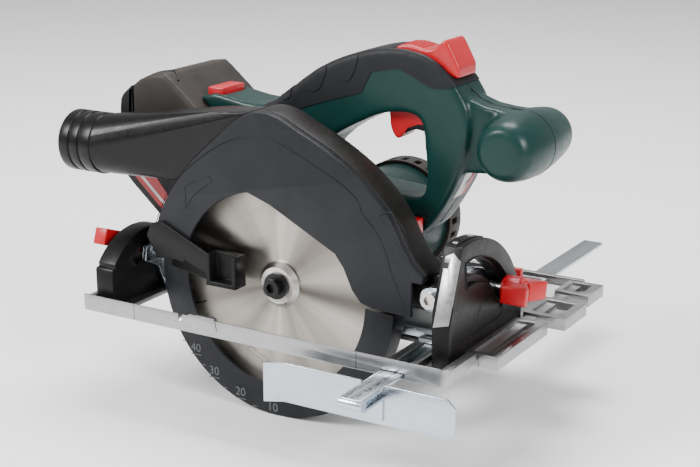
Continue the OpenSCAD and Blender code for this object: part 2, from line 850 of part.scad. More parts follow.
module battery_terminals() {
    color("#303030") at_blade() at_pack()
        box([-23.5, -6.5], [34.5, 61.5], [0.6, 6]);
}

module trigger() {
    color("Crimson") at_blade() {
        slab(39, 57) polygon(curve([[56, 139], [57, 126], [62, 119.5], [67, 124], [74, 127],
            [83, 127], [83.5, 139]], 3));
        box([58, 80], [42, 54], [138.5, 143.6]);
        box([58, 64], [44, 52], [143.5, 146.4]);
    }
}

module lock_off() {
    color("Crimson") at_blade() {
        slab(36, 60) polygon(concat(curve([[61, 173.6], [62.5, 177.6], [70, 179], [82, 177],
            [89, 179], [95, 184], [99.5, 178], [105, 168]], 3),
            [[105, 172.9 + 47 * tan(slide_a) + 0.6], [61, 172.9 + 3 * tan(slide_a) + 0.6]]));
        translate([74, 0, 170]) rotate([0, -slide_a, 0]) box([-3, 3], [44, 52], [-4, 1.5]);
    }
}

module spindle_lock() {
    color("Crimson") at_blade() {
        box([lock_c[0] - 6, lock_c[0] + 6], [17, 27.5], [lock_c[1] - 5, lock_c[1] + 5]);
        rod_y(lock_c, 27.5, 38, 3);
    }
}

// Pack outline: its tool side runs back and up from pack_o
pack_edge = concat(curve([[-82, 25.5], [-119, 57], [-138.5, 74.5], [-142, 84], [-142, 122],
    [-137, 133], [-119, 145], [-104, 147.8]], 3), [tool_side(88, 0), pack_o, [-79.6, 27.4]]);

module battery_case() {
    color("#25262a") at_blade() difference() {
        slab(pack_y[0], pack_y[1]) polygon(pack_edge);
        slab(pack_y[0] - 1, pack_y[1] + 1) polygon([[-131, 100], [-131, 170], [20, 170], [20, 100]]);
        slab(pack_y[0] + 3, pack_y[1] - 3) polygon([[-78, 33], [-134, 80], [-128, 140],
            [-98, 139], [-38, 88.8]]);
    }
}

module battery_cover() {
    color("#4a443f") at_blade() difference() {
        intersection() {
            slab(pack_y[0], pack_y[1]) polygon(pack_edge);
            slab(0, 200) polygon([[-130.8, 100.2], [-130.8, 170], [20, 170], [20, 100.2]]);
        }
        slab(pack_y[0] + 3, pack_y[1] - 3) polygon([[-78, 33], [-134, 80], [-127, 134],
            [-108, 142], [-98, 138.5], [-38, 88.8]]);
    }
}

// Ten cells in three layers, lying across the pack
module battery_cells() {
    color("SteelBlue") at_blade() for (k = [0:9])
        rod_y(tool_side(17.5 + 21.6 * (k % 4), -16 - 21.6 * floor(k / 4)),
            pack_y[0] + 4, pack_y[1] - 4, 10.3);
}

module battery_latch() {
    color("Crimson") at_blade() box([-80, -68], [35.5, 60.5], [132, 139]);
}

module guard_screws() {
    color("Silver") at_blade() for (p = guard_screw_places) {
        rod_y(p, 7.3, 8.9, 3.5);
        rod_y(p, 8.9, 16.4, 1.98);
    }
}

base_plate();
front_quadrant();
rear_quadrant();
quadrant_screws();
bevel_scale();
cut_scale();
guide_arm();
guide_fence();
guide_knob();
front_bracket();
rear_bracket();
carriage_rail();
depth_arc();
depth_pivot();
front_wing_knob();
front_clamp_bolt();
rear_clamp_lever();
rear_clamp_bolt();
upper_guard();
guard_cover();
dust_nozzle();
gear_case();
motor_housing();
motor_end_cap();
handle_left();
handle_right();
grip_cover();
grip_pads();
stator();
rotor_bearings();
gear_bearings();
switch_module();
control_board();
battery_terminals();
guard_screws();
handle_screws();
cap_screws();
guard_retainer();
return_spring();
depth_clamp_bolt();
depth_lever();
saw_blade();
inner_flange();
outer_flange();
blade_bolt();
spindle();
spindle_gear();
idler_gear();
rotor_shaft();
armature();
cooling_fan();
lower_guard();
retract_lever();
trigger();
lock_off();
spindle_lock();
battery_case();
battery_cover();
battery_cells();
battery_latch();
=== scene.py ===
import bpy
import math
from mathutils import Matrix, Vector


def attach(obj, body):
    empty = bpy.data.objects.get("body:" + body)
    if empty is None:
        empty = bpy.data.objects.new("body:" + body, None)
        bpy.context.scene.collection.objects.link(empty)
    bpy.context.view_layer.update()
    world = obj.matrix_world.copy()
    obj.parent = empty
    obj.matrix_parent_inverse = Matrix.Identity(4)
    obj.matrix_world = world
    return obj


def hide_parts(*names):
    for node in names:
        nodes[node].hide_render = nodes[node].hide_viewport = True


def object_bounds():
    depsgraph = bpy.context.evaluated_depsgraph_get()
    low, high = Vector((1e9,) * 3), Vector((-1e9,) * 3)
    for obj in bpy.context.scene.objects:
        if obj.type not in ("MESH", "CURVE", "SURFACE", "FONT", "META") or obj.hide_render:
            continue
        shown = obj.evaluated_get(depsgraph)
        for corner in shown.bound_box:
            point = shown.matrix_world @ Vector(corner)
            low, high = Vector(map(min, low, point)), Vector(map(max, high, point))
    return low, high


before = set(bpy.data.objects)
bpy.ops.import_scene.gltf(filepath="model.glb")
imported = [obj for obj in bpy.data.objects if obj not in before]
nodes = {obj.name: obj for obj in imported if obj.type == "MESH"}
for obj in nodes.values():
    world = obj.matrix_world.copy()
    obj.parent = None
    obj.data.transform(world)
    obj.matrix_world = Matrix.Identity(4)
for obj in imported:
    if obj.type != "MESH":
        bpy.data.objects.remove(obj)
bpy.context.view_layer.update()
millimetre = 0.001
controlClearance = 0.35  # round a control in its pocket, in millimetres
bladeLine = Vector((-0.010, -0.054, 0.0))  # foot of the blade's middle, on the sole's underside
spindleHeight = 25.5
print("frame loaded")


def at(x, y, z):
    # x from the spindle, y from the blade's middle plane, z from the sole, in millimetres
    return bladeLine + Vector((x, y, z)) * millimetre


def selectOnly(*objects):
    bpy.ops.object.select_all(action="DESELECT")
    for obj in objects:
        obj.select_set(True)
    bpy.context.view_layer.objects.active = objects[0]


def applyPlace(obj):
    selectOnly(obj)
    bpy.ops.object.transform_apply(location=True, rotation=True, scale=True)


def applyModifier(obj, kind, **settings):
    selectOnly(obj)
    modifier = obj.modifiers.new(kind.title(), kind)
    for key, value in settings.items():
        setattr(modifier, key, value)
    bpy.ops.object.modifier_apply(modifier=modifier.name)


def copyOf(*names):
    # one merged copy of CAD nodes, ready to be worked on
    selectOnly(*[nodes[name] for name in names])
    bpy.ops.object.duplicate()
    copies = list(bpy.context.selected_objects)
    for copy in copies:
        copy.parent = None
        copy.matrix_world = Matrix.Identity(4)
    selectOnly(*copies)
    if len(copies) > 1:
        bpy.ops.object.join()
    obj = bpy.context.view_layer.objects.active
    if obj.data.has_custom_normals:
        bpy.ops.mesh.customdata_custom_splitnormals_clear()
    bpy.ops.object.mode_set(mode="EDIT")
    bpy.ops.mesh.select_all(action="SELECT")
    bpy.ops.mesh.remove_doubles(threshold=0.00001)
    bpy.ops.mesh.dissolve_limited(angle_limit=math.radians(1.5))
    bpy.ops.object.mode_set(mode="OBJECT")
    return obj


def softenEdges(obj, width, segments=2, angle=35):
    applyModifier(obj, "BEVEL", width=width * millimetre, segments=segments, limit_method="ANGLE",
                  angle_limit=math.radians(angle), use_clamp_overlap=False, miter_outer="MITER_ARC")
    shade(obj)


def shade(obj, angle=38):
    selectOnly(obj)
    bpy.ops.object.shade_smooth_by_angle(angle=math.radians(angle), keep_sharp_edges=False)


def remeshRound(obj, voxel, passes, factor=0.5):
    # a moulded skin with generous radii: even quads, then smoothing passes
    applyModifier(obj, "REMESH", mode="VOXEL", voxel_size=voxel * millimetre, adaptivity=0)
    applyModifier(obj, "SMOOTH", factor=factor, iterations=passes)
    shade(obj, 60)


def smoothPath(points, steps=4, closed=False):
    # a soft curve through a few points
    count = len(points)
    path = []
    for i in range(count if closed else count - 1):
        near = [points[(i + k) % count] if closed else points[min(max(i + k, 0), count - 1)] for k in (-1, 0, 1, 2)]
        for j in range(steps):
            t = j / steps
            path.append(tuple(0.5 * (2 * b + (c - a) * t + (2 * a - 5 * b + 4 * c - d) * t * t
                                     + (3 * b - a - 3 * c + d) * t ** 3) for a, b, c, d in zip(*near)))
    return path if closed else path + [tuple(points[-1])]


def mergeClose(obj, distance=0.00001):
    # corners that lie on each other become one, so the skin is closed
    selectOnly(obj)
    bpy.ops.object.mode_set(mode="EDIT")
    bpy.ops.mesh.select_all(action="SELECT")
    bpy.ops.mesh.remove_doubles(threshold=distance)
    bpy.ops.mesh.dissolve_degenerate(threshold=distance / 4)
    bpy.ops.object.mode_set(mode="OBJECT")


def outlinePiece(points, low, high, plane="xz"):
    # a filled outline, extruded from low to high along the plane's normal
    spots = {"xz": lambda u, v, w: at(u, w, v), "yz": lambda u, v, w: at(w, u, v), "xy": lambda u, v, w: at(u, v, w)}
    normal = {"xz": Vector((0, 1, 0)), "yz": Vector((1, 0, 0)), "xy": Vector((0, 0, 1))}[plane]
    bpy.ops.object.select_all(action="DESELECT")
    bpy.ops.mesh.primitive_circle_add(vertices=len(points), radius=1, fill_type="NGON")
    obj = bpy.context.object
    for vertex, (u, v) in zip(obj.data.vertices, points):
        vertex.co = spots[plane](u, v, low)
    bpy.ops.object.mode_set(mode="EDIT")
    bpy.ops.mesh.select_all(action="SELECT")
    bpy.ops.mesh.extrude_region_move(TRANSFORM_OT_translate={"value": normal * (high - low) * millimetre})
    bpy.ops.mesh.select_all(action="SELECT")
    bpy.ops.mesh.normals_make_consistent(inside=False)
    bpy.ops.object.mode_set(mode="OBJECT")
    return obj


def bead(points, radius, closed=False, sides=2):
    # a round line along a path: the dark joint of two mouldings, a raised rib or a wire
    curve = bpy.data.curves.new("bead", "CURVE")
    curve.dimensions = "3D"
    curve.bevel_depth = radius * millimetre
    curve.bevel_resolution = sides
    curve.use_fill_caps = True
    line = curve.splines.new("POLY")
    line.points.add(len(points) - 1)
    for spot, place in zip(line.points, points):
        spot.co = (*place, 1)
    line.use_cyclic_u = closed
    obj = bpy.data.objects.new("bead", curve)
    bpy.context.collection.objects.link(obj)
    selectOnly(obj)
    bpy.ops.object.convert(target="MESH")
    obj = bpy.context.object
    mergeClose(obj)
    shade(obj, 60)
    return obj


def sunk(points, onto, depth=0.0):
    # points moved onto a piece's skin
    spots = []
    for point in points:
        place, normal = onto.closest_point_on_mesh(point)[1:3]
        spots.append(place + normal * depth * millimetre)
    return spots


def joined(pieces):
    selectOnly(*pieces)
    if len(pieces) > 1:
        bpy.ops.object.join()
    return bpy.context.view_layer.objects.active


def cutBy(obj, tool, operation="DIFFERENCE"):
    applyModifier(obj, "BOOLEAN", operation=operation, object=tool, solver="EXACT")
    bpy.data.objects.remove(tool, do_unlink=True)


def skinOver(shell, outline, proud, low=20, high=76, plane="xz"):
    # a second moulding that follows a shell's surface inside an outline
    selectOnly(shell)
    bpy.ops.object.duplicate()
    skin = bpy.context.object
    skin.parent = None
    applyModifier(skin, "DISPLACE", strength=proud * millimetre, mid_level=0)
    cutBy(skin, outlinePiece(outline, low, high, plane), "INTERSECT")
    shade(skin, 45)
    return skin


def makeRoom(obj, control, travel, steps=2):
    # clearance round a control that moves in a pocket, over its whole travel
    for k in range(steps + 1):
        tool = bpy.data.objects.new("room", control.data.copy())
        bpy.context.collection.objects.link(tool)
        mergeClose(tool)
        applyModifier(tool, "DISPLACE", strength=controlClearance * millimetre, mid_level=0)
        for vertex in tool.data.vertices:
            vertex.co += Vector(travel) * millimetre * k / steps
        cutBy(obj, tool)


def lettering(words, size, origin, across, up, height=0.25):
    # raised or printed figures: across and up are the reading directions
    bpy.ops.object.select_all(action="DESELECT")
    bpy.ops.object.text_add()
    obj = bpy.context.object
    obj.data.body = words
    obj.data.size = size * millimetre
    obj.data.extrude = height / 2 * millimetre
    obj.data.align_x = "CENTER"
    obj.data.align_y = "CENTER"
    selectOnly(obj)
    bpy.ops.object.convert(target="MESH")
    obj = bpy.context.object
    mergeClose(obj)
    across, up = Vector(across).normalized(), Vector(up).normalized()
    turn = Matrix((across, up, across.cross(up))).transposed().to_4x4()
    obj.matrix_world = Matrix.Translation(origin) @ turn
    applyPlace(obj)
    return obj


def fit(obj, name, body, material, hides=()):
    obj.name = name
    obj.data.name = name
    obj.data.materials.clear()
    obj.data.materials.append(material)
    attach(obj, body)
    if hides:
        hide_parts(*hides)
    return obj


# finishes

def startFinish(name, rough, metal=0.0, specular=0.5, coat=0.0, coatRough=0.2):
    material = bpy.data.materials.new(name)
    material.use_nodes = True
    tree = material.node_tree
    shader = tree.nodes["Principled BSDF"]
    shader.inputs["Roughness"].default_value = rough
    shader.inputs["Metallic"].default_value = metal
    shader.inputs["Specular IOR Level"].default_value = specular
    shader.inputs["Coat Weight"].default_value = coat
    shader.inputs["Coat Roughness"].default_value = coatRough
    return material, tree, shader


def objectPlace(tree, scale=(1, 1, 1), centre=None):
    coords = tree.nodes.new("ShaderNodeTexCoord")
    mapping = tree.nodes.new("ShaderNodeMapping")
    mapping.inputs["Scale"].default_value = scale
    if centre:
        mapping.inputs["Location"].default_value = [-c * s for c, s in zip(centre, scale)]
    tree.links.new(coords.outputs["Object"], mapping.inputs["Vector"])
    return mapping.outputs["Vector"]


def noiseOf(tree, place, scale, detail=3, roughness=0.55):
    noise = tree.nodes.new("ShaderNodeTexNoise")
    noise.inputs["Scale"].default_value = scale
    noise.inputs["Detail"].default_value = detail
    noise.inputs["Roughness"].default_value = roughness
    tree.links.new(place, noise.inputs["Vector"])
    return noise.outputs["Fac"]


def rampOf(tree, value, stops):
    ramp = tree.nodes.new("ShaderNodeValToRGB")
    points = ramp.color_ramp.elements
    while len(points) < len(stops):
        points.new(0.5)
    for point, (place, colour) in zip(points, stops):
        point.position = place
        point.color = (*colour, 1) if len(colour) == 3 else colour
    tree.links.new(value, ramp.inputs["Fac"])
    return ramp.outputs["Color"]


def rangeOf(tree, value, low, high, fromLow=0.3, fromHigh=0.7):
    node = tree.nodes.new("ShaderNodeMapRange")
    node.inputs["From Min"].default_value = fromLow
    node.inputs["From Max"].default_value = fromHigh
    node.inputs["To Min"].default_value = low
    node.inputs["To Max"].default_value = high
    tree.links.new(value, node.inputs["Value"])
    return node.outputs["Result"]


def bumpOf(tree, shader, height, distance, strength=1.0, under=None):
    bump = tree.nodes.new("ShaderNodeBump")
    bump.inputs["Strength"].default_value = strength
    bump.inputs["Distance"].default_value = distance * millimetre
    tree.links.new(height, bump.inputs["Height"])
    if under:
        tree.links.new(under, bump.inputs["Normal"])
    tree.links.new(bump.outputs["Normal"], shader.inputs["Normal"])
    return bump.outputs["Normal"]


def mouldedPlastic(name, dark, light, rough, grain=2400, depth=0.05, specular=0.45, coat=0.0):
    # spark-eroded grain, a slight flow mottle and a little shine variation
    material, tree, shader = startFinish(name, rough, 0, specular, coat)
    place = objectPlace(tree)
    mottle = noiseOf(tree, place, 45, 4)
    tree.links.new(rampOf(tree, mottle, [(0.3, dark), (0.7, light)]), shader.inputs["Base Color"])
    tree.links.new(rangeOf(tree, noiseOf(tree, place, 260, 3), rough - 0.05, rough + 0.07),
                   shader.inputs["Roughness"])
    bumpOf(tree, shader, noiseOf(tree, place, grain, 2, 0.6), depth, 0.6)
    return material


def plainMetal(name, dark, light, rough, streak=(40, 900, 900), depth=0.012, spots=120):
    # rolled or ground metal: streaks along one direction over a cloudy tone
    material, tree, shader = startFinish(name, rough, 1.0, 0.5)
    place = objectPlace(tree)
    cloud = noiseOf(tree, place, spots, 4, 0.6)
    lines = noiseOf(tree, objectPlace(tree, streak), 1, 3, 0.6)
    tree.links.new(rampOf(tree, cloud, [(0.3, dark), (0.7, light)]), shader.inputs["Base Color"])
    tree.links.new(rangeOf(tree, lines, rough - 0.07, rough + 0.1), shader.inputs["Roughness"])
    bumpOf(tree, shader, lines, depth, 0.7)
    return material


def bladeSteel():
    # ground round the arbor: fine rings that stretch each highlight along the radius
    material, tree, shader = startFinish("blade_steel_ground", 0.3, 1.0, 0.5)
    place = objectPlace(tree, centre=at(0, 0, spindleHeight))
    parts = tree.nodes.new("ShaderNodeSeparateXYZ")
    tree.links.new(place, parts.inputs["Vector"])
    turn = tree.nodes.new("ShaderNodeMath"); turn.operation = "ARCTAN2"
    tree.links.new(parts.outputs["Z"], turn.inputs[0])
    tree.links.new(parts.outputs["X"], turn.inputs[1])
    flat = tree.nodes.new("ShaderNodeCombineXYZ")
    tree.links.new(parts.outputs["X"], flat.inputs["X"])
    tree.links.new(parts.outputs["Z"], flat.inputs["Z"])
    length = tree.nodes.new("ShaderNodeVectorMath"); length.operation = "LENGTH"
    tree.links.new(flat.outputs["Vector"], length.inputs[0])
    rings = tree.nodes.new("ShaderNodeCombineXYZ")
    angle = tree.nodes.new("ShaderNodeMath"); angle.operation = "MULTIPLY"
    angle.inputs[1].default_value = 2.2
    tree.links.new(turn.outputs[0], angle.inputs[0])
    radius = tree.nodes.new("ShaderNodeMath"); radius.operation = "MULTIPLY"
    radius.inputs[1].default_value = 2600
    tree.links.new(length.outputs["Value"], radius.inputs[0])
    tree.links.new(angle.outputs[0], rings.inputs["X"])
    tree.links.new(radius.outputs[0], rings.inputs["Y"])
    grind = noiseOf(tree, rings.outputs["Vector"], 1, 2, 0.6)
    direction = tree.nodes.new("ShaderNodeVectorMath"); direction.operation = "NORMALIZE"
    tree.links.new(flat.outputs["Vector"], direction.inputs[0])
    radial = tree.nodes.new("ShaderNodeVectorTransform")
    radial.vector_type = "VECTOR"
    radial.convert_from = "OBJECT"
    radial.convert_to = "WORLD"
    tree.links.new(direction.outputs["Vector"], radial.inputs["Vector"])
    tree.links.new(radial.outputs["Vector"], shader.inputs["Tangent"])
    shader.inputs["Anisotropic"].default_value = 0.88
    # base colour lighter and darker in sectors round the arbor: painted highlight, radial streaks of sheen
    paintedSheenRays = noiseOf(tree, direction.outputs["Vector"], 2.1, 2, 0.5)
    tree.links.new(rampOf(tree, paintedSheenRays, [(0.34, (0.23, 0.208, 0.182)), (0.5, (0.33, 0.305, 0.272)),
                                       (0.66, (0.44, 0.412, 0.375))]), shader.inputs["Base Color"])
    tree.links.new(rangeOf(tree, grind, 0.3, 0.42), shader.inputs["Roughness"])
    bumpOf(tree, shader, grind, 0.008, 0.5)
    return material


finishes = {
    "housingGreen": mouldedPlastic("housing_green", (0.0022, 0.021, 0.0185), (0.0032, 0.027, 0.024), 0.36,
                                   2600, 0.035, 0.2, 0.08),
    "guardBlack": mouldedPlastic("guard_black", (0.0062, 0.0054, 0.005), (0.0095, 0.0084, 0.0078),
                                 0.42, 1500, 0.06, 0.2),
    "coverGrey": mouldedPlastic("cover_grey", (0.0085, 0.009, 0.0108), (0.0125, 0.0133, 0.016),
                                0.4, 1500, 0.05, 0.2),
    "nozzleBlack": mouldedPlastic("nozzle_black", (0.0028, 0.0028, 0.003), (0.0044, 0.0044, 0.0047),
                                  0.32, 1200, 0.04, 0.2),
    "deepBlack": mouldedPlastic("deep_black", (0.003, 0.0029, 0.0028), (0.0052, 0.005, 0.0049),
                                0.38, 1600, 0.045, 0.2),
    "capBrown": mouldedPlastic("cap_brown", (0.024, 0.0205, 0.0185), (0.034, 0.029, 0.0265),
                               0.46, 1700, 0.06, 0.2),
    "packGrey": mouldedPlastic("pack_grey", (0.006, 0.006, 0.007), (0.0095, 0.0095, 0.011),
                               0.44, 1700, 0.06, 0.2),
    "packBrown": mouldedPlastic("pack_brown", (0.021, 0.0178, 0.0158), (0.031, 0.0265, 0.0235),
                                0.48, 1500, 0.07, 0.2),
    "gripRubber": mouldedPlastic("grip_rubber", (0.0062, 0.0065, 0.0078), (0.0095, 0.01, 0.012),
                                 0.52, 1900, 0.08, 0.2),
    "controlRed": mouldedPlastic("control_red", (0.36, 0.0045, 0.009), (0.45, 0.0075, 0.014),
                                 0.32, 2600, 0.02, 0.4, 0.1),
    "scaleWhite": mouldedPlastic("scale_white", (0.62, 0.62, 0.6), (0.7, 0.7, 0.68), 0.5),
    "boardGreen": mouldedPlastic("board_green", (0.01, 0.13, 0.04), (0.02, 0.18, 0.06), 0.4),
    "cellWrap": mouldedPlastic("cell_wrap", (0.05, 0.15, 0.28), (0.07, 0.2, 0.35), 0.3),
    "castAluminium": plainMetal("cast_aluminium", (0.33, 0.33, 0.335), (0.38, 0.38, 0.385),
                                0.36, (300, 300, 300), 0.02, 40),
    "zincSteel": plainMetal("zinc_steel", (0.46, 0.51, 0.56), (0.53, 0.58, 0.63),
                            0.25, (500, 20, 500), 0.003, 40),
    "zincPlate": plainMetal("zinc_plate", (0.46, 0.51, 0.56), (0.53, 0.58, 0.63),
                            0.28, (20, 500, 500), 0.003, 40),
    "brightSteel": plainMetal("bright_steel", (0.5, 0.485, 0.465), (0.56, 0.545, 0.525),
                              0.26, (700, 60, 700), 0.006, 40),
    "blackSteel": plainMetal("black_steel", (0.03, 0.03, 0.031), (0.055, 0.054, 0.053), 0.38),
    "gearGrey": mouldedPlastic("gear_grey", (0.03, 0.032, 0.031), (0.045, 0.047, 0.046), 0.45, 1300, 0.06),
    "copper": plainMetal("copper", (0.45, 0.2, 0.09), (0.6, 0.3, 0.14), 0.3),
    "turnedSteel": plainMetal("turned_steel", (0.5, 0.48, 0.455), (0.53, 0.51, 0.485),
                              0.24, (60, 60, 60), 0.001, 20),
    # pale grey for the guard's depth marks: painted highlight in place of the light on their raised edges
    "markHighlightGrey": mouldedPlastic("mark_highlight_grey", (0.075, 0.078, 0.083), (0.09, 0.094, 0.1), 0.5),
    "etchBrown": mouldedPlastic("etch_brown", (0.09, 0.045, 0.02), (0.12, 0.06, 0.028), 0.5),
    "bladeSteel": bladeSteel(),
}
print("finishes ready")

# CAD nodes that keep their own shape, with their finish
keptNodes = {
    "quadrant_screws": "brightSteel", "cut_scale": "scaleWhite",
    "depth_pivot": "brightSteel", "front_clamp_bolt": "brightSteel", "rear_clamp_bolt": "brightSteel",
    "stator": "blackSteel", "rotor_bearings": "brightSteel", "gear_bearings": "brightSteel",
    "switch_module": "deepBlack", "control_board": "boardGreen", "battery_terminals": "deepBlack",
    "guard_screws": "brightSteel", "handle_screws": "blackSteel", "cap_screws": "blackSteel",
    "guard_retainer": "brightSteel", "return_spring": "brightSteel", "depth_clamp_bolt": "brightSteel",
    "inner_flange": "brightSteel", "spindle": "brightSteel", "spindle_gear": "brightSteel",
    "idler_gear": "brightSteel", "rotor_shaft": "brightSteel", "armature": "copper",
    "cooling_fan": "deepBlack", "battery_cells": "cellWrap", "saw_blade": "bladeSteel",
    "outer_flange": "turnedSteel", "blade_bolt": "blackSteel",
}
for name, finish in keptNodes.items():
    mesh = nodes[name].data
    mesh.materials.clear()
    mesh.materials.append(finishes[finish])

# CAD nodes taken over by a softened copy: body, slot, finish, edge radius in mm
softNodes = {
    "rear_quadrant": ("base", "black_plastic", "deepBlack", 0.45),
    "guide_arm": ("guide", "zinc_steel", "zincSteel", 0.3),
    "guide_fence": ("guide", "zinc_steel", "zincPlate", 0.3),
    "guide_knob": ("guide_clamp", "control_red", "controlRed", 0.8),
    "front_bracket": ("carriage", "zinc_steel", "zincSteel", 0.4),
    "rear_bracket": ("carriage", "zinc_steel", "zincSteel", 0.4),
    "carriage_rail": ("carriage", "zinc_steel", "zincPlate", 0.4),
    "depth_arc": ("carriage", "zinc_steel", "zincSteel", 0.3),
    "rear_clamp_lever": ("rear_clamp", "control_red", "controlRed", 0.5),
    "upper_guard": ("head", "guard_black", "guardBlack", 0.9),
    "dust_nozzle": ("head", "black_plastic", "nozzleBlack", 0.6),
    "gear_case": ("head", "gear_grey", "gearGrey", 0.7),
    "motor_housing": ("head", "housing_green", "housingGreen", 0.4),
    "motor_end_cap": ("head", "cap_brown", "capBrown", 0.5),
    "depth_lever": ("depth_clamp", "black_plastic", "deepBlack", 0.8),
    "lower_guard": ("swing_guard", "cover_grey", "coverGrey", 0.3),
    "retract_lever": ("swing_guard", "black_plastic", "deepBlack", 0.5),
    "spindle_lock": ("spindle_lock", "control_red", "controlRed", 0.7),
    "battery_latch": ("battery_latch", "control_red", "controlRed", 0.8),
}
for name, (body, slotName, finish, radius) in softNodes.items():
    piece = copyOf(name)
    softenEdges(piece, radius, 3)
    fit(piece, name + "_finished", body, finishes[finish], [name])
print("softened pieces ready")

# handle

handle = {
    "voxel": 1.1, "passes": 32, "middle": 48,
    "latchRoom": {"outline": [(-80.45, 129.1), (-67.55, 129.1), (-67.55, 142), (-80.45, 142)], "depth": (35.1, 60.9)},
    "lockRoom": {"outline": [(74.57, 64.57), (87.43, 64.57), (87.43, 75.43), (74.57, 75.43)], "depth": (14.1, 31.1),
                 "pin": (81, 70), "pinRadius": 3.45, "pinDepth": (26.2, 41.6)},
    "skin": [(-36, 127), (-20, 127.1), (-4.7, 133), (12.8, 139.1), (33.6, 145.4), (40.3, 147.6), (47.8, 161.3),
             (66.5, 165.1), (76.9, 160.9), (89.5, 155.1), (99.5, 155.8), (112.7, 159.3), (130, 166), (125, 200),
             (-60, 200), (-26, 141)],
    "pads": [[(-20, 147), (-12.5, 149.5), (-11.5, 140), (-19.5, 138)],
             [(0.6, 153.5), (15.4, 162), (10.3, 147.3), (1.7, 145.4)],
             [(23.2, 164.5), (38.3, 171.5), (32.8, 155.1), (23.2, 155.9)]],
}
shell = copyOf("handle_left", "handle_right")
remeshRound(shell, handle["voxel"], handle["passes"])
gripSkin = skinOver(shell, handle["skin"], 0.7)
lockTravel = (5 * math.cos(math.radians(15)), 0, -5 * math.sin(math.radians(15)))
for moulding in (shell, gripSkin):
    makeRoom(moulding, nodes["lock_off"], lockTravel)
latchRoom, lockRoom = handle["latchRoom"], handle["lockRoom"]
cutBy(shell, outlinePiece(latchRoom["outline"], *latchRoom["depth"]))
cutBy(shell, outlinePiece(lockRoom["outline"], *lockRoom["depth"]))
pinRound = [(lockRoom["pin"][0] + lockRoom["pinRadius"] * math.cos(math.radians(15 * k)),
             lockRoom["pin"][1] + lockRoom["pinRadius"] * math.sin(math.radians(15 * k))) for k in range(24)]
cutBy(shell, outlinePiece(pinRound, *lockRoom["pinDepth"]))
mergeClose(shell)
for moulding in (shell, gripSkin):
    shade(moulding, 50)
pads = []
for corners in handle["pads"]:
    pads.append(skinOver(shell, smoothPath(corners, 3, closed=True), 1.25))
gripPads = joined(pads)
lowerSeam = [at(x, handle["middle"], z) for x, z in
             [(106, 163), (112, 157), (116, 152), (124, 147.5), (132, 146), (143, 145)]]
knobSeam = [at(143 + 23 * math.cos(a), handle["middle"], 124 + 23 * math.sin(a))
            for a in [math.radians(80 - 10 * k) for k in range(24)]]
frontSeam = [at(x, handle["middle"], z) for x, z in [(118, 112), (112, 104), (106, 92), (97, 76), (90, 66)]]
seams = joined([bead(sunk(lowerSeam + knobSeam, shell), 0.28), bead(sunk(frontSeam, shell), 0.28)])
fit(shell, "handle_shell", "head", finishes["housingGreen"], ["handle_left", "handle_right"])
fit(gripSkin, "grip_skin", "head", finishes["gripRubber"], ["grip_cover"])
fit(gripPads, "grip_raised_pads", "head", finishes["gripRubber"], ["grip_pads"])
sticker = skinOver(shell, [(41, 86), (56, 86), (56, 103), (41, 103)], 0.15, 95, 135, "yz")
stickerBand = skinOver(shell, [(51, 86), (56, 86), (56, 103), (51, 103)], 0.2, 95, 135, "yz")
fit(sticker, "plain_label", "head", finishes["scaleWhite"])
fit(stickerBand, "plain_label_band", "head", finishes["controlRed"])
fit(seams, "handle_seams", "head", finishes["deepBlack"])
print("handle ready")

# switch controls
triggerShell = copyOf("trigger")
remeshRound(triggerShell, 0.6, 8)
fingerPad = skinOver(triggerShell, [(64.5, 110), (66, 122), (69, 127), (76, 130), (90, 130), (90, 110)], 0.35, 38, 58)
fit(triggerShell, "trigger_body", "trigger", finishes["controlRed"], ["trigger"])
fit(fingerPad, "trigger_finger_pad", "trigger", finishes["gripRubber"])

lockShell = copyOf("lock_off")
remeshRound(lockShell, 0.7, 16)
lockRibs = {"count": 5, "first": (66.0, 178.6), "pitch": 3.0}
ribs = []
for k in range(lockRibs["count"]):
    x = lockRibs["first"][0] + lockRibs["pitch"] * k
    foot = [at(x, 40.5 + 3 * j, lockRibs["first"][1]) for j in range(6)]
    ribs.append(bead(sunk(foot, lockShell), 0.55))
fit(lockShell, "lock_off_button", "lock_off", finishes["controlRed"], ["lock_off"])
fit(joined(ribs), "lock_off_ribs", "lock_off", finishes["controlRed"])

# guard cover

cover = {
    "face": -18.3,
    "inset": [(-86.2, 44), (-85, 56), (-79.4, 70), (-69.5, 86.1), (-53.1, 101.3), (-34.6, 114.3), (-22, 120.3),
              (-11.7, 122.8), (-2, 123.6), (7.9, 122.6), (20, 118.6), (41, 109.5), (56, 102), (66, 95), (68.6, 91),
              (70.5, 86), (79.2, 77.4), (86, 66), (90.5, 53), (95.5, 42), (100, 33)],
    "front": [(81.5, 86), (87.5, 89.5), (92.6, 88), (98.5, 80), (102.5, 68)],
    "panel": [(-60.5, 85.5), (-41.5, 94.6), (-38.6, 91.5), (-46, 86.5), (-54.5, 79.5), (-60, 70.5)],
}
coverShell = copyOf("guard_cover")
softenEdges(coverShell, 0.75, 3)
coverLines = [bead([at(x, cover["face"], z) for x, z in smoothPath(cover["inset"], 5)], 0.32),
              bead([at(x, cover["face"], z) for x, z in smoothPath(cover["front"], 5)], 0.28)]
coverLines.append(bead([at(x, cover["face"], z) for x, z in cover["panel"]], 0.2, closed=True))
fit(coverShell, "guard_cover_shell", "head", finishes["coverGrey"], ["guard_cover"])
fit(joined(coverLines), "guard_cover_lines", "head", finishes["deepBlack"])
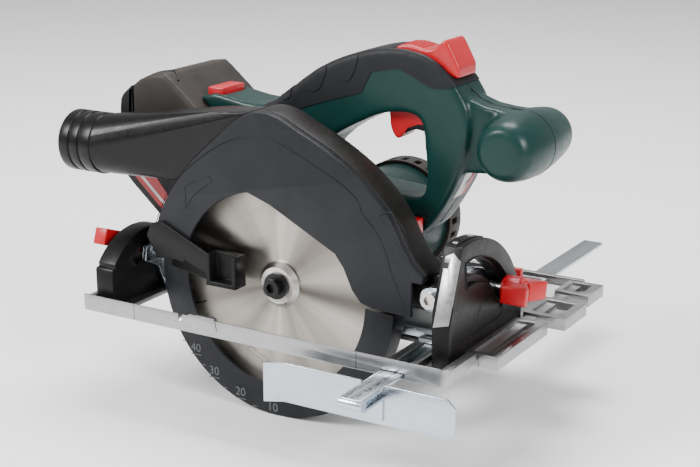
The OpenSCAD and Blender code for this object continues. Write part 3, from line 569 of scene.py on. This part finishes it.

# moving guard's depth marks; their pale grey is painted highlight, standing for the light caught on the raised edges
# of darker figures
guardMarks = {"face": -9.0,
              "figures": [("40", -62.6, -27.4), ("30", -48.2, -40.9), ("20", -27.2, -51.3), ("10", -1.9, -56.8)],
              "short": [(-72, -24.2), (-57, -38.2), (-39.9, -50.8), (-16, -58.7)]}
marks = []
for words, x, z in guardMarks["figures"]:
    marks.append(lettering(words, 8.2, at(x, guardMarks["face"] - 0.05, z), (1, 0, 0), (0, 0, 1)))
    marks.append(outlinePiece([(x - 4.2, z - 4.8), (x + 4.2, z - 4.8), (x + 4.2, z - 4.2), (x - 4.2, z - 4.2)],
                              guardMarks["face"] - 0.15, guardMarks["face"] + 0.1))
for x, z in guardMarks["short"]:
    marks.append(outlinePiece([(x - 1.6, z - 0.3), (x + 1.8, z - 0.3), (x + 1.8, z + 0.3), (x - 1.6, z + 0.3)],
                              guardMarks["face"] - 0.15, guardMarks["face"] + 0.1))
fit(joined(marks), "lower_guard_marks", "swing_guard", finishes["markHighlightGrey"])
print("guards ready")

# bevel quadrant

quadrant = {"face": 134.0, "lean": ((-29, 28), (-15, 66)), "top": 90, "cut": (118, 140),
            "lip": {"outer": 63.3, "inner": 46.7, "start": 27, "step": 5, "count": 15},
            "boss": {"centre": (27, 17), "radius": 18.5, "start": 155, "step": 7, "count": 22},
            "ridge": [(-9.6, 14.8), (10, 15), (36, 15.2), (43, 16), (45.3, 20)],
            "stripLift": (0.9, -0.2)}
quadrantShell = copyOf("front_quadrant")
(leanY, leanZ), (topY, topZ) = quadrant["lean"]
reach = (quadrant["top"] - leanZ) / (topZ - leanZ)
lean = [(leanY, leanZ), (leanY + (topY - leanY) * reach, quadrant["top"]), (leanY - 12, quadrant["top"]),
        (leanY - 12, leanZ)]
bevelStrip = copyOf("bevel_scale")
for piece in (quadrantShell, bevelStrip):
    cutBy(piece, outlinePiece(lean, *quadrant["cut"], "yz"))
shade(bevelStrip)
fit(bevelStrip, "bevel_scale_strip", "base", finishes["deepBlack"], ["bevel_scale"])
softenEdges(quadrantShell, 0.55, 3)
lip, boss = quadrant["lip"], quadrant["boss"]
lipAngles = [math.radians(lip["start"] + lip["step"] * k) for k in range(lip["count"])]
lipBack = [math.radians(97 - lip["step"] * k) for k in range(lip["count"])]
slotLip = [at(quadrant["face"], lip["outer"] * math.cos(a), lip["outer"] * math.sin(a)) for a in lipAngles]
slotLip += [at(quadrant["face"], lip["inner"] * math.cos(a), lip["inner"] * math.sin(a)) for a in lipBack]
bossAngles = [math.radians(boss["start"] - boss["step"] * k) for k in range(boss["count"])]
bossArc = [at(quadrant["face"], boss["centre"][0] + boss["radius"] * math.cos(a),
              boss["centre"][1] + boss["radius"] * math.sin(a)) for a in bossAngles]
ridge = [at(quadrant["face"], y, z) for y, z in quadrant["ridge"]]
quadrantRibs = joined([bead(slotLip, 0.55, closed=True), bead(bossArc, 0.35), bead(ridge, 0.4)])
# a thin plate on the leaning face in the light cast-aluminium finish: painted highlight, standing for the light the
# black quadrant's leaning face catches
stripLength = math.hypot(topY - leanY, topZ - leanZ)
along = Vector((0, topY - leanY, topZ - leanZ)).normalized()
stripEnd = [(124.6, 0), (134.2, 2.5), (134.4, stripLength), (129.5, stripLength + 4), (124.6, stripLength + 1.5),
            (124.6, stripLength - 2), (127.6, stripLength - 2), (127.6, stripLength - 5.5), (124.6, stripLength - 5.5)]
strip = outlinePiece([(end[0], 0) for end in stripEnd], 0, 1)
outwards = Vector((0, -along.z, along.y))
for index, (x, height) in enumerate(stripEnd + stripEnd):
    lift = quadrant["stripLift"][0 if index < len(stripEnd) else 1]
    strip.data.vertices[index].co = at(x, leanY, leanZ) + along * height * millimetre + outwards * lift * millimetre
selectOnly(strip)
bpy.ops.object.mode_set(mode="EDIT")
bpy.ops.mesh.select_all(action="SELECT")
bpy.ops.mesh.normals_make_consistent(inside=False)
bpy.ops.object.mode_set(mode="OBJECT")
softenEdges(strip, 0.25, 2)
fit(quadrantShell, "front_quadrant_shell", "base", finishes["deepBlack"], ["front_quadrant"])
fit(quadrantRibs, "front_quadrant_ribs", "base", finishes["deepBlack"])
# the leaning face's painted highlight, as a light metal plate
fit(strip, "front_quadrant_lean_highlight", "base", finishes["castAluminium"])
bevelScale = {"zero": 51, "stripStart": 72, "onQuadrant": 74.05, "onStrip": 74.66, "middle": 126.8}
scaleFigures = []
for tilt in (0, 15, 30, 45):  # true angles about the bevel axis
    a = math.radians(bevelScale["zero"] + tilt)
    r = bevelScale["onQuadrant" if bevelScale["zero"] + tilt < bevelScale["stripStart"] else "onStrip"]
    scaleFigures.append(lettering(str(tilt), 3.4, at(bevelScale["middle"], r * math.cos(a), r * math.sin(a)),
                                  (1, 0, 0), (0, math.sin(a), -math.cos(a)), 0.15))
fit(joined(scaleFigures), "bevel_figures", "base", finishes["scaleWhite"])

# wing knob of the bevel clamp
wing = copyOf("front_wing_knob")
softenEdges(wing, 1.1, 3)
fit(wing, "front_wing_knob_shell", "front_clamp", finishes["controlRed"], ["front_wing_knob"])
print("quadrant ready")

# sole

sole = {"cornerRadius": 8.0, "near": -47.0, "front": 144.0, "joints": (-82.5, 83.3),
        "pad": [(-42, 4.2), (-38.5, 12.4), (-19, 12.4), (-17, 4.2)]}
soleShell = copyOf("base_plate")
rounding = [(sole["front"] + 1, sole["near"] - 1), (sole["front"] + 1, sole["near"] + sole["cornerRadius"])]
for k in range(11):
    a = math.radians(-9 * k)
    rounding.append((sole["front"] + sole["cornerRadius"] * (math.cos(a) - 1),
                     sole["near"] + sole["cornerRadius"] * (1 + math.sin(a))))
rounding.append((sole["front"] - sole["cornerRadius"], sole["near"] - 1))
cutBy(soleShell, outlinePiece(rounding, -2, 16, "xy"))
softenEdges(soleShell, 0.3, 2)
fit(soleShell, "sole_casting", "base", finishes["castAluminium"], ["base_plate"])
pad = outlinePiece(sole["pad"], sole["near"] - 0.6, sole["near"] + 2.6)
softenEdges(pad, 0.5, 2)
fit(pad, "rim_pad", "base", finishes["castAluminium"])
joints = []
for x in sole["joints"]:
    joints.append(outlinePiece([(x - 0.2, 0.3), (x + 0.2, 0.3), (x + 0.2, 10.8), (x - 0.2, 10.8)],
                               sole["near"] - 0.06, sole["near"] + 0.2))
fit(joined(joints), "rim_joints", "base", finishes["deepBlack"])
print("sole ready")

# battery

battery = {"near": 18.5, "groove": [(-136, 23), (-130, 28), (-119, 31), (-106, 32), (-96, 30), (-90, 26)],
           "band": [(-133, 77), (-116, 61.5), (-100, 47.5), (-95, 56), (-112, 76), (-124, 88)],
           "stripe": [(-130, 79), (-114, 64.5), (-98, 50.5), (-97, 52.5), (-113, 66.5), (-129, 81)]}
packCover = copyOf("battery_cover", "battery_cells")
remeshRound(packCover, 1.2, 24)
groove = bead(sunk([at(x, y, 152) for x, y in smoothPath(battery["groove"], 4)], packCover), 0.9)
band = outlinePiece(battery["band"], battery["near"] - 0.15, battery["near"] + 0.2)
stripe = outlinePiece(battery["stripe"], battery["near"] - 0.22, battery["near"] + 0.1)
fit(packCover, "battery_cover_shell", "battery", finishes["packBrown"], ["battery_cover"])
fit(groove, "battery_cover_groove", "battery", finishes["deepBlack"])
fit(band, "battery_band", "battery", finishes["controlRed"])
fit(stripe, "battery_stripe", "battery", finishes["scaleWhite"])
packCase = copyOf("battery_case")
softenEdges(packCase, 2.0, 4)
fit(packCase, "battery_case_shell", "battery", finishes["packGrey"], ["battery_case"])
print("battery ready")

# small parts

spring = {"x": -20.8, "z": 12.6, "start": 46.4, "end": 75.6, "radius": 1.85, "wire": 0.4, "turns": 13, "steps": 18}
coil = []
for k in range(spring["turns"] * spring["steps"] + 1):
    a = 2 * math.pi * k / spring["steps"]
    share = k / (spring["turns"] * spring["steps"])
    coil.append(at(spring["x"] + spring["radius"] * math.cos(a),
                   spring["start"] + (spring["end"] - spring["start"]) * share,
                   spring["z"] + spring["radius"] * math.sin(a)))
fit(bead(coil, spring["wire"]), "return_spring_coil", "head", finishes["brightSteel"],
    ["return_spring"])

arrow = [(-25.8, -22.3), (-24.4, -21.4), (-14.6, -26.9), (-13.9, -25.5), (-10.5, -29.2), (-15.4, -31.4),
         (-15.1, -29.1), (-26.9, -24.3)]
fit(bead([at(x, -0.7, z) for x, z in arrow], 0.16, closed=True), "blade_turn_arrow", "blade_set",
    finishes["etchBrown"])

armScale = {"top": 3.5, "edge": 101.6, "first": -88, "step": 2}
armMarks = []
for k in range(34):
    y = armScale["first"] + armScale["step"] * k
    length = 3.6 if k % 5 == 0 else 2
    armMarks.append(outlinePiece([(armScale["edge"], y - 0.28), (armScale["edge"] + length, y - 0.28),
                                  (armScale["edge"] + length, y + 0.28), (armScale["edge"], y + 0.28)],
                                 armScale["top"] - 0.05, armScale["top"] + 0.03, "xy"))
    if k % 5 == 0:
        armMarks.append(lettering(str(k // 5 + 1), 8, at(109.6, y, armScale["top"]), (1, 0, 0), (0, 1, 0), 0.06))
fit(joined(armMarks), "guide_arm_scale", "guide", finishes["deepBlack"])

cutScale = {"first": 125.5, "step": 2, "edge": 120.2}
cutMarks = []
for k in range(12):
    y = cutScale["first"] + cutScale["step"] * k
    length = 5 if k % 5 == 0 else 3
    cutMarks.append(outlinePiece([(cutScale["edge"], y - 0.15), (cutScale["edge"] + length, y - 0.15),
                                  (cutScale["edge"] + length, y + 0.15), (cutScale["edge"], y + 0.15)],
                                 3.15, 3.23, "xy"))
fit(joined(cutMarks), "cut_scale_marks", "base", finishes["deepBlack"])
print("small parts ready")

# stage, camera and light

bpy.ops.object.select_all(action="DESELECT")
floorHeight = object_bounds()[0][2]
bpy.ops.mesh.primitive_plane_add(size=9, location=(0, 0, floorHeight))
floor = bpy.context.object
applyPlace(floor)
floor.name = "studio_floor"
floorFinish, tree, shader = startFinish("studio_floor", 0.7)
tone = noiseOf(tree, objectPlace(tree), 3, 2)
tree.links.new(rampOf(tree, tone, [(0.3, (0.86, 0.86, 0.86)), (0.7, (0.88, 0.88, 0.88))]), shader.inputs["Base Color"])
floor.data.materials.append(floorFinish)

camera = {"azimuth": 31.0, "elevation": 16.36, "distance": 0.90066, "target": (0.041, -0.054, 0.0664),
          "lens": 75.73}
turn, lift = math.radians(camera["azimuth"]), math.radians(camera["elevation"])
away = Vector((math.sin(turn) * math.cos(lift), -math.cos(turn) * math.cos(lift), math.sin(lift)))
bpy.ops.object.camera_add(location=Vector(camera["target"]) + away * camera["distance"],
                          rotation=(-away).to_track_quat("-Z", "Y").to_euler())
viewer = bpy.context.object
viewer.data.lens = camera["lens"]
viewer.data.sensor_width = 36
viewer.data.clip_start = 0.01
bpy.context.scene.camera = viewer

world = bpy.context.scene.world or bpy.data.worlds.new("studio")
bpy.context.scene.world = world
world.use_nodes = True
sky = world.node_tree.nodes["Background"]
sky.inputs["Color"].default_value = (1, 1, 1, 1)
sky.inputs["Strength"].default_value = 0.6

softLights = [  # place, size, power
    ((-0.9, -1.2, 1.1), 0.7, 44),
    ((1.3, -0.5, 0.8), 0.6, 22),
    ((-0.2, 0.5, 1.7), 0.9, 44),
]
for place, size, power in softLights:
    direction = Vector(place) - Vector((0, 0, 0.05))
    bpy.ops.object.light_add(type="AREA", location=place,
                             rotation=direction.to_track_quat("Z", "Y").to_euler())
    light = bpy.context.object
    light.data.shape = "DISK"
    light.data.size = size
    light.data.energy = power
print("stage ready")
